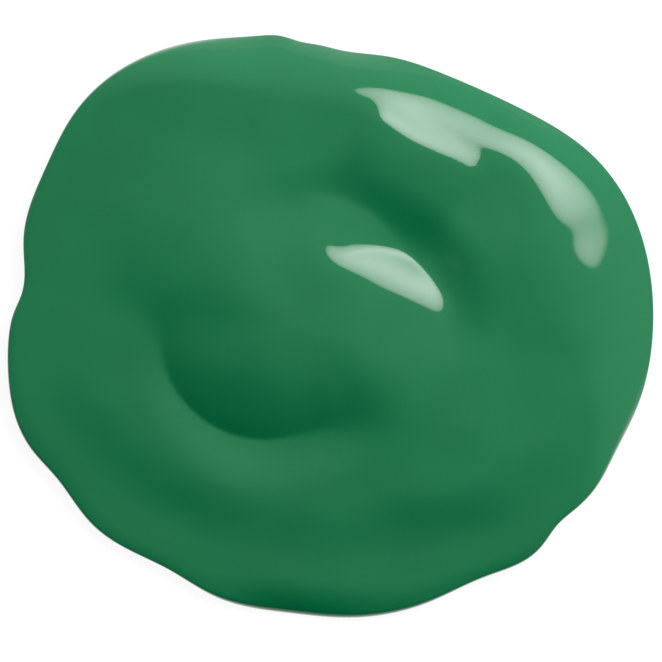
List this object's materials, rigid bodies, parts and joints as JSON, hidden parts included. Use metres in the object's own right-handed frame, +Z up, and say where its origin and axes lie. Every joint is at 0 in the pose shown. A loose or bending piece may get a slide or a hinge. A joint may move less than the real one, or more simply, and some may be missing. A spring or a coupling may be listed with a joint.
{
  "type": "paint dollop",
  "caption": "Poured dollop of thick glossy green paint with a raised swirl near its middle, a stepped edge and a flat underside.",
  "frame": {"origin": "middle of the bounding box, on the flat underside", "axes": "+Z up out of the paint's surface, +X along the dollop's longest side, +Y along its shorter side"},
  "size_m": [0.038, 0.0342, 0.0028],
  "materials": {
    "wet_paint": "wet high-gloss paint"
  },
  "bodies": {
    "root": {"paint_dollop": "wet_paint"}
  },
  "joints": []
}
